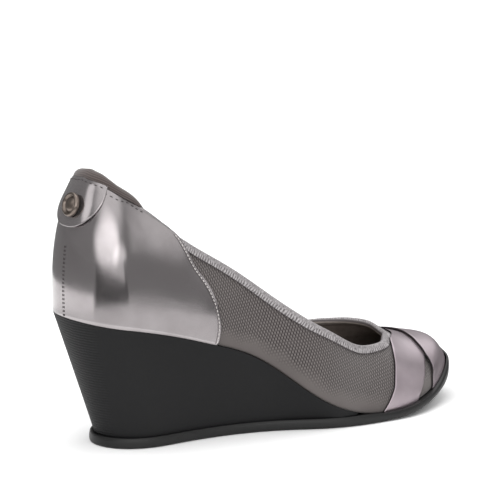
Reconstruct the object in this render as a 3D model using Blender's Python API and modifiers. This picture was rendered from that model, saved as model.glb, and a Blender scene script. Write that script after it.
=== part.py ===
# A womens pump on a wedge sole. Right shoe: toe along +X, outer side along -Y, sole on Z = 0.
import math

import bpy
import numpy as np

# Driving sizes of the last and the upper, in metres
LENGTH = 0.247  # back of the counter to the tip of the toe, along the floor
BALL_WIDTH = 0.080
HEEL_HEIGHT = 0.067  # feather line over the floor, under the heel
CONE_HEIGHT = 0.080  # top line of the last over the feather line
WALL = 0.0018  # knit, backing and lining together
LEATHER = 0.0010
GAP = 0.0003  # between pieces that touch
CURVE_GAP = 0.0004  # between curved pieces, whose facets differ
SKIN = LEATHER + CURVE_GAP  # the last is measured over the leather, so the knit lies this far inside it

# Sole unit
OUTSOLE = 0.005  # thickness under the wedge
SOLE_BACK = 0.0184  # the sole starts this far in front of the counter, as the wedge leans in
SOLE_PROUD = 0.003  # and ends this far past the toe
SOLE_LENGTH = LENGTH + SOLE_PROUD - SOLE_BACK
TOE_SPRING = 0.0148
SPRING_START = 0.68  # station where the sole leaves the floor
LIP = 0.002  # outsole past the wedge
EDGE_ROUND = 0.0012
RIM = 0.0006  # rubber edge over the feather line at the sides
BUMPER = 0.0040  # and at the toe
WEDGE_END = 0.645  # station where the wedge has run out between outsole and upper
INSOLE = 0.0025

# Trim
BINDING = 0.0050  # elastic edge, height on the outside
BINDING_THICK = 0.0012
BINDING_START = 0.208  # station where it comes out of the counter
PAD_RISE = 0.0072  # collar pad over the topline
PAD_DROP = 0.026
PAD_THICK = 0.0050
PAD_END = 0.152
PAD_LEAN = 0.5  # share of its rise that follows the last, and the rest is straight up
TAB_DROP = 0.030
TAB_HALF_WIDTH = 0.0175
TAB_LIFT = 0.0016  # how far the free end stands off
STUD_RADIUS = 0.0065
STUD_HEIGHT = 0.0024
STUD_DROP = 0.0185  # centre under the topline

# How far along the last the fans of sections at heel and toe have their centres
HEEL_FAN = 0.094
TOE_FAN = 0.66
TOE_ROUND = 0.737  # station where the outline starts to close round the toe
SOLE_HEEL_ROUND = 0.123
SOLE_TOE_ROUND = 0.71
SIDE_BULGE = 0.054  # of the half width, at a third of the height
BULGE_TOP = 0.6

# One row for each section of the last. Half widths and centre line are shares of BALL_WIDTH,
# feather of HEEL_HEIGHT and cone of CONE_HEIGHT. Square is the power that fills out the section.
SECTION_COLUMNS = ("station", "outer", "inner", "centre", "feather", "cone", "square")
SECTION_ROWS = [
    (0.00, 0.355, 0.415, 0.000, 1.050, 0.940, 0.65),
    (0.12, 0.325, 0.405, 0.025, 0.955, 1.030, 0.66),
    (0.28, 0.300, 0.350, 0.050, 0.795, 0.930, 0.66),
    (0.42, 0.350, 0.325, 0.050, 0.610, 0.960, 0.66),
    (0.56, 0.495, 0.400, 0.005, 0.230, 0.980, 0.70),
    (0.68, 0.475, 0.480, -0.010, 0.075, 0.700, 0.76),
    (0.80, 0.485, 0.510, 0.010, 0.090, 0.470, 0.76),
    (0.90, 0.495, 0.510, 0.055, 0.165, 0.340, 0.74),
    (1.00, 0.535, 0.510, 0.090, 0.310, 0.255, 0.61),
]
SECTIONS = dict(zip(SECTION_COLUMNS, np.array(SECTION_ROWS).T))

# How far up its section the upper is cut, 0 at the feather line and 1 at the top of the last
TOPLINE_COLUMNS = ("station", "rise")
TOPLINE_ROWS = [
    (0.000, 0.768),
    (0.035, 0.714),
    (0.135, 0.573),
    (0.290, 0.446),
    (0.470, 0.310),
    (0.625, 0.377),
    (0.770, 0.555),
    (0.885, 0.695),
    (0.965, 0.768),
    (1.000, 0.800),
]
TOPLINE = dict(zip(TOPLINE_COLUMNS, np.array(TOPLINE_ROWS).T))

# Half width of the sole, a share of BALL_WIDTH, along its own length
SOLE_COLUMNS = ("station", "half")
SOLE_ROWS = [
    (0.00, 0.295),
    (0.12, 0.295),
    (0.28, 0.305),
    (0.42, 0.370),
    (0.56, 0.495),
    (0.68, 0.520),
    (0.80, 0.535),
    (0.90, 0.525),
    (1.00, 0.530),
]
SOLE = dict(zip(SOLE_COLUMNS, np.array(SOLE_ROWS).T))

# Edges of the overlays. Turn runs 0 at the back, 1 at the toe and 2 at the back again, outer side
# first, and height is the share of the way from the feather line to the topline.
COUNTER_COLUMNS = ("height", "turn")
COUNTER_ROWS = [
    (0.00, 0.327),
    (0.15, 0.333),
    (0.30, 0.332),
    (0.45, 0.324),
    (0.60, 0.307),
    (0.72, 0.283),
    (0.82, 0.249),
    (0.90, 0.222),
    (1.00, 0.192),
]
COUNTER = dict(zip(COUNTER_COLUMNS, np.array(COUNTER_ROWS).T))

STRAP_COLUMNS = ("along", "rear_turn", "rear_height", "front_turn", "front_height")
STRAP_ROWS = [
    (0.00, 0.747, 0.00, 0.822, 0.00),
    (0.08, 0.753, 0.30, 0.843, 0.17),
    (0.16, 0.771, 0.58, 0.870, 0.33),
    (0.24, 0.803, 0.79, 0.902, 0.48),
    (0.33, 0.870, 0.885, 0.945, 0.58),
    (0.48, 1.000, 0.895, 1.010, 0.62),
    (0.63, 1.130, 0.880, 1.085, 0.60),
    (0.72, 1.240, 0.840, 1.160, 0.53),
    (0.81, 1.340, 0.740, 1.235, 0.38),
    (0.90, 1.420, 0.480, 1.300, 0.20),
    (1.00, 1.460, 0.00, 1.355, 0.00),
]
STRAP = dict(zip(STRAP_COLUMNS, np.array(STRAP_ROWS).T))

# The toe strap is a four-sided piece: its two short sides, and its rear edge between them
TOE_SIDE_COLUMNS = ("share", "outer_turn", "inner_turn")
TOE_SIDE_ROWS = [
    (0.00, 0.884, 1.240),
    (0.36, 0.893, 1.222),
    (0.67, 0.904, 1.190),
    (1.00, 0.918, 1.130),
]
TOE_SIDE = dict(zip(TOE_SIDE_COLUMNS, np.array(TOE_SIDE_ROWS).T))
TOE_REAR_COLUMNS = ("share", "height")
TOE_REAR_ROWS = [
    (0.00, 0.537),
    (0.06, 0.657),
    (0.20, 0.780),
    (0.44, 0.820),
    (0.72, 0.790),
    (1.00, 0.690),
]
TOE_REAR = dict(zip(TOE_REAR_COLUMNS, np.array(TOE_REAR_ROWS).T))

COLUMNS = 40  # columns of faces on each side of a ring
ROWS = 9

collection = bpy.data.collections.new("wedge_heel")


def clear_scene():
    for obj in list(bpy.data.objects):
        bpy.data.objects.remove(obj)
    bpy.context.scene.collection.children.link(collection)


# Smooth curve through the rows of a table
def along(table, column, at, key="station"):
    xs = table[key]
    ys = table[column]
    at = np.clip(np.asarray(at, float), xs[0], xs[-1])
    slopes = np.gradient(ys, xs)
    i = np.clip(np.searchsorted(xs, at) - 1, 0, len(xs) - 2)
    step = xs[i + 1] - xs[i]
    t = (at - xs[i]) / step
    start = (1 + 2 * t) * (1 - t) ** 2 * ys[i] + t * (1 - t) ** 2 * step * slopes[i]
    end = t * t * (3 - 2 * t) * ys[i + 1] + t * t * (t - 1) * step * slopes[i + 1]
    return start + end


def smooth_step(t):
    t = np.clip(t, 0, 1)
    return t * t * (3 - 2 * t)


# Factor that closes an outline round at its back and its front
def closing(station, back, front):
    heel = np.sqrt(np.clip(1 - (1 - np.minimum(station / back, 1)) ** 2, 0, 1))
    toe = np.sqrt(np.clip(1 - np.clip((station - front) / (1 - front), 0, 1) ** 2, 0, 1))
    return heel * toe


def station_and_side(turn):
    turn = np.mod(turn, 2)
    return np.where(turn <= 1, turn, 2 - turn), np.where(turn <= 1, -1.0, 1.0)


# Turn on a scale that has even steps round the heel and the toe, and back again
def to_even(turn):
    station, side = station_and_side(turn)
    even = np.arccos(1 - 2 * station) / math.pi
    return np.where(side < 0, even, 2 - even)


def from_even(even):
    station = (1 - np.cos(math.pi * even)) / 2
    return np.where(even <= 1, station, 2 - station)


def feather_height(station):
    return along(SECTIONS, "feather", station) * HEEL_HEIGHT


def topline_rise(turn):
    table = {"even": to_even(TOPLINE["station"]), "rise": TOPLINE["rise"]}
    return along(table, "rise", to_even(station_and_side(turn)[0]), "even")


# Point of the last: rise goes from 0 at the feather line to 1 at the top line
def last_point(turn, rise):
    turn, rise = np.broadcast_arrays(np.asarray(turn, float), np.asarray(rise, float))
    station, side = station_and_side(turn)
    share = np.where(side < 0, along(SECTIONS, "outer", station), along(SECTIONS, "inner", station))
    half_width = share * BALL_WIDTH * closing(station, HEEL_FAN, TOE_ROUND)
    fan = np.clip(station, HEEL_FAN, TOE_FAN)
    inward = np.clip(np.cos(math.pi / 2 * rise), 0, 1) ** along(SECTIONS, "square", station)
    bulge = SIDE_BULGE * np.clip((0.7 - station) / 0.4, 0, 1)
    inward = inward + bulge * np.sin(math.pi * np.clip(rise / BULGE_TOP, 0, 1))
    upward = np.sin(math.pi / 2 * rise)
    x = fan + (station - fan) * inward
    centre = along(SECTIONS, "centre", station) * inward + along(SECTIONS, "centre", fan) * (1 - inward)
    top = feather_height(x) + along(SECTIONS, "cone", x) * CONE_HEIGHT
    z = feather_height(station) * (1 - upward) + top * upward
    return np.stack([x * LENGTH, centre * BALL_WIDTH + side * half_width * inward, z], -1)


# The same, moved outwards along the normal
def last_surface(turn, rise, out):
    turn, rise = np.broadcast_arrays(np.asarray(turn, float), np.asarray(rise, float))
    step = 0.0005
    mid = np.clip(rise, step, 0.995)
    forward = last_point(turn + step, mid) - last_point(turn - step, mid)
    upward = last_point(turn, mid + step) - last_point(turn, mid - step)
    normal = np.cross(forward, upward)
    normal /= np.linalg.norm(normal, axis=-1, keepdims=True)
    return last_point(turn, rise) + normal * np.asarray(out, float)[..., None]


# Rise of the point that lies the given distance under the topline, measured on the surface
def rise_under_topline(turn, distance):
    turn, distance = np.broadcast_arrays(np.asarray(turn, float), np.asarray(distance, float))
    rises = np.linspace(0, 0.98, 80)
    found = np.empty(turn.shape)
    for index, value in np.ndenumerate(turn):
        points = last_point(value, rises)
        lengths = np.append(0, np.cumsum(np.linalg.norm(np.diff(points, axis=0), axis=1)))
        topline = np.interp(topline_rise(value), rises, lengths)
        found[index] = np.interp(topline - distance[index], lengths, rises)
    return found


# Outline of the sole, moved in by inset, at a share of its own length
def sole_plan(turn, inset):
    def edge(at):
        share, side = station_and_side(at)
        x = SOLE_BACK + share * SOLE_LENGTH
        half = along(SOLE, "half", share) * BALL_WIDTH
        half = half * closing(share, SOLE_HEEL_ROUND, SOLE_TOE_ROUND)
        centre = along(SECTIONS, "centre", np.clip(x / LENGTH, 0, 1)) * BALL_WIDTH
        return np.stack([x, centre + side * half], -1)

    step = 0.0005
    forward = edge(turn + step) - edge(turn - step)
    inward = np.stack([-forward[..., 1], forward[..., 0]], -1)
    inward /= np.linalg.norm(inward, axis=-1, keepdims=True)
    return edge(turn) + inward * inset


def spring(x):
    t = np.clip((x / LENGTH - SPRING_START) / (1 - SPRING_START), 0, None)
    return TOE_SPRING * t**2


# Turns round a whole outline, closer together at heel and toe, plus any that are asked for
def ring_turns(extra=()):
    half = from_even(np.linspace(0, 1, COLUMNS + 1))
    half = np.unique(np.concatenate([half, np.array(extra, float)]))
    return np.concatenate([half, 2 - half[-2:0:-1]])


def with_height(plan, z):
    return np.concatenate([plan, np.broadcast_to(z, plan.shape[:-1])[..., None]], -1)


def material(name, colour, roughness, metallic):
    made = bpy.data.materials.new(name)
    made.use_nodes = True
    shader = made.node_tree.nodes["Principled BSDF"]
    shader.inputs["Base Color"].default_value = (*colour, 1)
    shader.inputs["Roughness"].default_value = roughness
    shader.inputs["Metallic"].default_value = metallic
    return made


def add_object(name, points, faces, finish):
    mesh = bpy.data.meshes.new(name)
    mesh.from_pydata([tuple(point) for point in points], [], faces)
    mesh.validate()
    mesh.materials.append(finish)
    mesh.shade_smooth()
    mesh.set_sharp_from_angle(angle=math.radians(40))
    obj = bpy.data.objects.new(name, mesh)
    collection.objects.link(obj)
    return obj


def grid_faces(columns, rows, ring):
    faces = []
    for i in range(columns if ring else columns - 1):
        j = (i + 1) % columns
        for k in range(rows - 1):
            faces.append((i * rows + k, j * rows + k, j * rows + k + 1, i * rows + k + 1))
    return faces


# Open sheet of columns of points, given its thickness inwards
def add_sheet(name, grid, thickness, finish, ring=False):
    columns, rows = grid.shape[:2]
    obj = add_object(name, grid.reshape(-1, 3), grid_faces(columns, rows, ring), finish)
    solid = obj.modifiers.new("thickness", "SOLIDIFY")
    solid.thickness = thickness
    solid.offset = -1
    return obj


# Faces across a symmetric outline: point i on one side meets point count - i on the other
def cap_faces(count, first, upwards, blunt_front=False):
    last = (count - 1) // 2 if blunt_front else count // 2
    faces = []
    for i in range(last):
        near = first + i
        far = first + (count - i) % count
        far_next = first + count - i - 1
        face = [near, near + 1] + ([far_next] if far_next != near + 1 else [])
        if far != near:
            face.append(far)
        faces.append(tuple(face if upwards else face[::-1]))
    return faces


# Solid through a stack of outlines, from the lowest to the highest
def add_stack(name, outlines, finish, blunt_front=False):
    count = len(outlines[0])
    faces = cap_faces(count, 0, False, blunt_front)
    for level in range(len(outlines) - 1):
        base = level * count
        for i in range(count):
            j = (i + 1) % count
            faces.append((base + i, base + j, base + count + j, base + count + i))
    faces += cap_faces(count, (len(outlines) - 1) * count, True, blunt_front)
    return add_object(name, np.concatenate(outlines), faces, finish)


# Solid along a row of closed sections, with flat ends
def add_sweep(name, sections, finish):
    count, size = sections.shape[:2]
    faces = [tuple(range(size))[::-1]]
    for i in range(count - 1):
        for k in range(size):
            n = (k + 1) % size
            faces.append((i * size + k, i * size + n, (i + 1) * size + n, (i + 1) * size + k))
    faces.append(tuple(range((count - 1) * size, count * size)))
    return add_object(name, sections.reshape(-1, 3), faces, finish)


def seat_height(x):
    under_upper = feather_height(np.clip(x / LENGTH, 0, 1)) - GAP
    return np.where(x <= WEDGE_END * LENGTH + GAP, OUTSOLE, under_upper)


# Outline that the wedge and the upper stand in: it follows the sole's edge at the back and the
# upper's feather line at the front
def seat_plan(turn, inset):
    share, side = station_and_side(turn)
    back = SOLE_BACK / LENGTH
    station = back + share * (1 - back)
    feather = last_surface(np.where(side < 0, station, 2 - station), 0, GAP - inset)[..., :2]
    front = smooth_step((share - 0.50) / 0.12)[..., None]
    return sole_plan(turn, LIP + inset) * (1 - front) + feather * front


def add_outsole(finish):
    end = (WEDGE_END * LENGTH - SOLE_BACK) / SOLE_LENGTH
    turns = ring_turns((end, end + GAP / SOLE_LENGTH * 3))
    share = station_and_side(turns)[0]
    seat = seat_plan(turns, 0)
    edge = sole_plan(turns, 0)
    floor = spring(edge[:, 0])
    top = seat_height(seat[:, 0])
    rim = RIM + (BUMPER - RIM) * smooth_step((share - 0.86) / 0.12)
    outlines = [
        with_height(sole_plan(turns, EDGE_ROUND), floor),
        with_height(sole_plan(turns, EDGE_ROUND * 0.3), floor + EDGE_ROUND * 0.3),
        with_height(edge, floor + EDGE_ROUND),
        with_height(edge, np.maximum(top + rim - EDGE_ROUND, floor + EDGE_ROUND * 1.5)),
        with_height(sole_plan(turns, EDGE_ROUND * 0.5), top + rim),
        with_height(seat + (edge - seat) * 0.15, top + rim),
        with_height(seat, top),
    ]
    return add_stack("outsole", outlines, finish)


def add_wedge(finish):
    half = (1 - np.cos(np.linspace(0, math.pi / 2, 22))) * WEDGE_END
    turns = np.concatenate([half, 2 - half[:0:-1]])
    station, side = station_and_side(turns)
    top = last_surface(turns, 0, 0)
    top[:, 2] = feather_height(top[:, 0] / LENGTH) - GAP
    share = station / WEDGE_END * (WEDGE_END * LENGTH - SOLE_BACK) / SOLE_LENGTH
    foot = seat_plan(np.where(side < 0, share, 2 - share), 2 * GAP)
    foot[:, 0] = np.minimum(foot[:, 0], WEDGE_END * LENGTH)
    bottom = with_height(foot, OUTSOLE + GAP)
    outlines = [bottom * (1 - t) + top * t for t in (0, 0.25, 0.5, 0.75, 1)]
    return add_stack("wedge", outlines, finish, blunt_front=True)


def add_insole(finish):
    turns = ring_turns()
    inside = -(SKIN + WALL + 2 * GAP)
    outlines = []
    for inset, height in ((0, 0), (0, INSOLE * 0.7), (INSOLE * 0.4, INSOLE)):
        ring = last_surface(turns, 0, inside - inset)
        ring[:, 2] = feather_height(ring[:, 0] / LENGTH) + height
        outlines.append(ring)
    return add_stack("insole", outlines, finish)


def add_upper(finish):
    turns = ring_turns()[:, None]
    rise = np.linspace(0, 1, ROWS + 1)[None] * topline_rise(turns)
    return add_sheet("upper", last_surface(turns, rise, -SKIN), WALL, finish, ring=True)


def overlay_point(turn, height, out):
    return last_surface(turn, height * topline_rise(turn), out)


def add_counter(finish):
    across = np.linspace(-1, 1, 31)[:, None]
    height = np.linspace(0, 1, 10)[None]
    edge = along(COUNTER, "turn", height, "height")
    turn = np.sign(across) * edge * (1 - np.cos(math.pi / 2 * np.abs(across)))
    return add_sheet("heel_counter", overlay_point(turn, height + 0 * across, 0), LEATHER, finish)


def add_crossing_strap(finish):
    share = np.linspace(0, 1, 49)[:, None]
    across = np.linspace(0, 1, 6)[None]
    table = {**STRAP, "rear": to_even(STRAP["rear_turn"]), "front": to_even(STRAP["front_turn"])}
    turn = along(table, "front", share, "along") * across
    turn = turn + along(table, "rear", share, "along") * (1 - across)
    height = along(table, "front_height", share, "along") * across
    height = height + along(table, "rear_height", share, "along") * (1 - across)
    sheet = overlay_point(from_even(turn), height, 0)
    return add_sheet("crossing_strap", sheet[::-1], LEATHER, finish)


def add_toe_strap(finish):
    across = np.linspace(0, 1, 27)[:, None]
    up = np.linspace(0, 1, 11)[None]
    outer = to_even(along(TOE_SIDE, "outer_turn", up, "share"))
    inner = to_even(along(TOE_SIDE, "inner_turn", up, "share"))
    turn = from_even(outer * (1 - across) + inner * across)
    height = along(TOE_REAR, "height", across, "share") * up
    # it rises over the crossing strap, whose front edge it covers
    level = (LEATHER + CURVE_GAP) * smooth_step((up - 0.3) / 0.35)
    return add_sheet("toe_strap", overlay_point(turn, height, level), LEATHER, finish)


def add_binding(finish):
    half = from_even(np.linspace(0, 1, COLUMNS + 1))  # the upper's own columns
    half = np.append(BINDING_START, half[half > BINDING_START])
    turns = np.concatenate([half, 2 - half[-2::-1]])
    outer = -SKIN + GAP
    inner = -(SKIN + WALL + GAP)
    station = station_and_side(turns)[0]
    emerge = smooth_step((station - BINDING_START + 0.006) / 0.035)
    leg = BINDING * (0.12 + 0.88 * emerge)
    profile = [
        (1.0, 0, outer),
        (1.0, 0, outer + BINDING_THICK * 0.8),
        (0.5, 0, outer + BINDING_THICK * 1.15),
        (0, 0, outer + BINDING_THICK),
        (0, -(GAP + BINDING_THICK), -SKIN),
        (0, -(GAP + BINDING_THICK), -SKIN - WALL),
        (0, 0, inner - BINDING_THICK * 0.8),
        (0.6, 0, inner - BINDING_THICK * 0.8),
        (0.6, 0, inner),
        (0, -GAP, inner),
        (0, -GAP, outer),
    ]
    sections = []
    for share, offset, out in profile:
        rise = rise_under_topline(turns, leg * share + offset)
        sections.append(last_surface(turns, rise, out))
    return add_sweep("topline_binding", np.stack(sections, 1)[:, ::-1], finish)


def add_collar_pad(finish):
    across = np.linspace(-1, 1, 29)
    turns = np.sign(across) * PAD_END * (1 - np.cos(math.pi / 2 * np.abs(across)))
    body = np.sqrt(np.clip(1 - np.abs(across) ** 5, 0.03, 1))
    rise_share = (0.62 + 0.38 * smooth_step(np.abs(across) / 0.5)) * body
    back = -(SKIN + WALL + GAP)
    profile = [
        (1.0, 0.0, 0.08),
        (0.66, 0.0, 0.08),
        (0.33, 0.0, 0.08),
        (0.04, 0.0, 0.08),
        (0.0, 0.34, 0.03),
        (0.0, 0.62, -0.20),
        (0.0, 0.88, -0.10),
        (0.0, 1.00, 0.25),
        (0.0, 0.80, 0.75),
        (0.06, 0.0, 1.05),
        (0.45, 0.0, 1.00),
        (0.85, 0.0, 0.55),
    ]
    sections = []
    for drop, rise, depth in profile:
        up = PAD_RISE * rise * rise_share
        distance = PAD_DROP * drop * body - PAD_LEAN * up
        out = back - PAD_THICK * depth * body
        section = last_surface(turns, rise_under_topline(turns, distance), out)
        section[:, 2] += (1 - PAD_LEAN) * up
        sections.append(section)
    return add_sweep("collar_pad", np.stack(sections, 1)[:, ::-1], finish)


# Turn of the point that lies the given distance from the back seam, just under the topline
def turn_from_back(distance):
    turns = (1 - np.cos(np.linspace(0, 0.7, 60))) * 0.5
    points = last_point(turns, topline_rise(0) * 0.85)
    lengths = np.append(0, np.cumsum(np.linalg.norm(np.diff(points, axis=0), axis=1)))
    return np.sign(distance) * np.interp(np.abs(distance), lengths, turns)


def tab_out(drop):
    return LEATHER + CURVE_GAP + TAB_LIFT * (drop / TAB_DROP) ** 2


def add_heel_tab(finish):
    # a square of rows and columns drawn out to a half round
    across = np.linspace(-1, 1, 13)[:, None]
    down = np.linspace(1, 0, 8)[None]
    drop = TAB_DROP * down * np.sqrt(1 - across**2 / 2)
    aside = TAB_HALF_WIDTH * across * np.sqrt(1 - down**2 / 2) * (1 - 0.2 * drop / TAB_DROP)
    turn = turn_from_back(aside)
    sheet = last_surface(turn, rise_under_topline(turn, drop), tab_out(drop))
    return add_sheet("heel_tab", sheet, LEATHER, finish)


def add_stud(finish):
    base = last_surface(0, rise_under_topline(0, STUD_DROP), tab_out(STUD_DROP) + GAP * 1.5)
    above = last_surface(0, rise_under_topline(0, STUD_DROP), tab_out(STUD_DROP) + 0.01)
    outward = (above - base) / np.linalg.norm(above - base)
    profile = [
        (0, STUD_HEIGHT * 0.9),
        (0.30, STUD_HEIGHT * 0.82),
        (0.55, STUD_HEIGHT * 0.55),
        (0.66, STUD_HEIGHT * 0.50),
        (0.76, STUD_HEIGHT * 0.86),
        (0.86, STUD_HEIGHT),
        (0.95, STUD_HEIGHT * 0.80),
        (1.0, STUD_HEIGHT * 0.45),
        (1.0, 0),
        (0, 0),
    ]
    points = [(radius * STUD_RADIUS, 0, z) for radius, z in profile]
    mesh = bpy.data.meshes.new("stud")
    mesh.from_pydata(points, [(i, i + 1) for i in range(len(points) - 1)], [])
    mesh.materials.append(finish)
    obj = bpy.data.objects.new("stud", mesh)
    collection.objects.link(obj)
    turned = obj.modifiers.new("turned", "SCREW")
    turned.steps = 24
    turned.render_steps = 24
    turned.use_merge_vertices = True
    turned.merge_threshold = 0.00001
    turned.use_smooth_shade = True
    tilt = math.atan2(outward[0], outward[2])
    obj.location = tuple(base)
    obj.rotation_euler = (0, tilt, 0)
    return obj


# Puts the middle of the shoe's footprint at the origin
def centre_on_origin():
    bpy.context.view_layer.update()
    graph = bpy.context.evaluated_depsgraph_get()
    points = []
    for obj in collection.objects:
        placed = obj.evaluated_get(graph)
        points += [placed.matrix_world @ vertex.co for vertex in placed.data.vertices]
    points = np.array(points)
    middle = (points.min(axis=0) + points.max(axis=0)) / 2
    for obj in collection.objects:
        obj.location.x -= middle[0]
        obj.location.y -= middle[1]


def build_shoe():
    clear_scene()
    rubber = material("black_rubber", (0.012, 0.012, 0.012), 0.45, 0)
    wedge = material("charcoal_rubber", (0.022, 0.022, 0.023), 0.6, 0)
    knit = material("grey_knit", (0.16, 0.145, 0.14), 0.85, 0)
    pewter = material("pewter_leather", (0.42, 0.41, 0.41), 0.28, 0.8)
    mauve = material("mauve_leather", (0.45, 0.41, 0.42), 0.4, 0.6)
    elastic = material("silver_elastic", (0.45, 0.45, 0.45), 0.7, 0.2)
    lining = material("brown_lining", (0.09, 0.075, 0.07), 0.9, 0)
    metal = material("gunmetal", (0.30, 0.28, 0.27), 0.25, 1)
    add_outsole(rubber)
    add_wedge(wedge)
    add_insole(lining)
    add_upper(knit)
    add_counter(pewter)
    add_crossing_strap(mauve)
    add_toe_strap(mauve)
    add_binding(elastic)
    add_collar_pad(lining)
    add_heel_tab(pewter)
    add_stud(metal)
    centre_on_origin()


build_shoe()
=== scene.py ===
import math

import bmesh
import bpy
import numpy as np
from mathutils import Matrix, Vector, noise
from mathutils.bvhtree import BVHTree


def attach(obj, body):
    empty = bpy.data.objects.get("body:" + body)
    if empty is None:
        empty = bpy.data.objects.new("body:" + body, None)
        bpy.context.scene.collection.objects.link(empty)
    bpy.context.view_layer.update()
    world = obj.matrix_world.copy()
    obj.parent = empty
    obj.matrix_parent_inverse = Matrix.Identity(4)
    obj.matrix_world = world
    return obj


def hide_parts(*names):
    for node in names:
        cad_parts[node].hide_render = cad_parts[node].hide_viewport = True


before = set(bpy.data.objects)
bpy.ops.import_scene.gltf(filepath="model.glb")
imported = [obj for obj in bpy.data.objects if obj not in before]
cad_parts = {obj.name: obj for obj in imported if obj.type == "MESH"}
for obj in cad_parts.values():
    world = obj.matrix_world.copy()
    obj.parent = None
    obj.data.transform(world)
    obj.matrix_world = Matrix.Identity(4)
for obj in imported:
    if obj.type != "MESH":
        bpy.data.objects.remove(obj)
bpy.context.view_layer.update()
scene = bpy.context.scene
print("frame loaded,", len(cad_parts), "nodes")

mm = 0.001


def linear(hexColour):  # sRGB hex to linear RGBA
    shares = [int(hexColour[i:i + 2], 16) / 255 for i in (1, 3, 5)]
    return [s / 12.92 if s <= 0.04045 else ((s + 0.055) / 1.055) ** 2.4 for s in shares] + [1.0]


# a Mix node's sockets go by number: 6 and 7 for two colours, 2 and 3 for two numbers
def addNode(tree, kind, inputs=None, links=None, **settings):
    node = tree.nodes.new(kind)
    for name, value in settings.items():
        setattr(node, name, value)
    for name, value in (inputs or {}).items():
        node.inputs[name].default_value = value
    for name, socket in (links or {}).items():
        tree.links.new(socket, node.inputs[name])
    return node


def newMaterial(name, **shaderInputs):
    finish = bpy.data.materials.new(name)
    finish.use_nodes = True
    shader = finish.node_tree.nodes["Principled BSDF"]
    for socket, value in shaderInputs.items():
        shader.inputs[socket.replace("_", " ")].default_value = value
    return finish, finish.node_tree, shader


def wire(shader, **sockets):  # links into the shader itself
    for name, socket in sockets.items():
        shader.id_data.links.new(socket, shader.inputs[name.replace("_", " ")])


def pickOnly(piece):
    if bpy.context.object and bpy.context.object.mode != "OBJECT":
        bpy.ops.object.mode_set(mode="OBJECT")
    bpy.ops.object.select_all(action="DESELECT")
    piece.select_set(True)
    bpy.context.view_layer.objects.active = piece


def applyAll(piece):
    pickOnly(piece)
    for modifier in list(piece.modifiers):
        bpy.ops.object.modifier_apply(modifier=modifier.name)


def turnFacesOut(piece):
    pickOnly(piece)
    bpy.ops.object.mode_set(mode="EDIT")
    bpy.ops.mesh.select_all(action="SELECT")
    bpy.ops.mesh.normals_make_consistent(inside=False)
    bpy.ops.object.mode_set(mode="OBJECT")


# copy of a CAD node, merged and back in quads: the setting that leaves the fewest triangles wins
def copyNode(nodeName, pieceName):
    best = None
    for grid in (1.5, 2.0, 1.0, 0.6, 1.8, 1.2):
        piece = bpy.data.objects.new(pieceName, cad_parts[nodeName].data.copy())
        scene.collection.objects.link(piece)
        piece.data.materials.clear()
        pickOnly(piece)
        bpy.ops.object.mode_set(mode="EDIT")
        bpy.ops.mesh.select_all(action="SELECT")
        bpy.ops.mesh.remove_doubles(threshold=0.01 * mm)
        bpy.ops.mesh.tris_convert_to_quads(face_threshold=math.radians(60),
                                           shape_threshold=math.radians(170), topology_influence=grid)
        bpy.ops.object.mode_set(mode="OBJECT")
        left = sum(len(face.vertices) == 3 for face in piece.data.polygons)
        if best is None or left < best[0]:
            if best:
                bpy.data.objects.remove(best[1])
            best = (left, piece)
        else:
            bpy.data.objects.remove(piece)
        if best[0] == 0:
            break
    piece = best[1]
    piece.name = piece.data.name = pieceName
    if piece.data.has_custom_normals:
        pickOnly(piece)
        bpy.ops.mesh.customdata_custom_splitnormals_clear()
    print(" ", pieceName, "from", nodeName, "with", best[0], "triangles left")
    return piece


# groups of faces that no sharp edge parts, the largest first
def smoothRegions(mesh, sharp=50):
    bm = bmesh.new()
    bm.from_mesh(mesh)
    bm.faces.ensure_lookup_table()
    seen, groups = set(), []
    for start in bm.faces:
        if start.index in seen:
            continue
        group, stack = [], [start]
        seen.add(start.index)
        while stack:
            face = stack.pop()
            group.append(face.index)
            for edge in face.edges:
                if len(edge.link_faces) != 2 or edge.calc_face_angle() > math.radians(sharp):
                    continue
                for other in edge.link_faces:
                    if other.index not in seen:
                        seen.add(other.index)
                        stack.append(other)
        groups.append((sum(bm.faces[i].calc_area() for i in group), group))
    bm.free()
    return [group for area, group in sorted(groups, reverse=True)]


# closed loops of vertices round a group of faces
def borderLoops(mesh, group):
    uses = {}
    for index in group:
        corners = list(mesh.polygons[index].vertices)
        for a, b in zip(corners, corners[1:] + corners[:1]):
            uses.setdefault(frozenset((a, b)), []).append((a, b))
    following = {pairs[0][0]: pairs[0][1] for pairs in uses.values() if len(pairs) == 1}
    loops = []
    while following:
        first = next(iter(following))
        loop, at = [], first
        while at in following:
            loop.append(at)
            at = following.pop(at)
        loops.append(np.array([mesh.vertices[i].co for i in loop]))
    return sorted(loops, key=lambda loop: loop[:, 2].mean())


def vertexPlaces(mesh):
    flat = np.empty(len(mesh.vertices) * 3)
    mesh.vertices.foreach_get("co", flat)
    return flat.reshape(-1, 3)


def setPlaces(mesh, places):
    mesh.vertices.foreach_set("co", np.asarray(places, float).ravel())
    mesh.update()


# a grid laid over rows and columns of places, with the row and column of each vertex
def layGrid(name, places):
    rows, columns = places.shape[:2]
    bpy.ops.object.select_all(action="DESELECT")
    bpy.ops.mesh.primitive_grid_add(x_subdivisions=columns - 1, y_subdivisions=rows - 1, size=2)
    piece = bpy.context.object
    piece.name = piece.data.name = name
    flat = vertexPlaces(piece.data)
    column = np.rint((flat[:, 0] + 1) / 2 * (columns - 1)).astype(int)
    row = np.rint((flat[:, 1] + 1) / 2 * (rows - 1)).astype(int)
    setPlaces(piece.data, places[row, column])
    return piece, row, column


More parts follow.
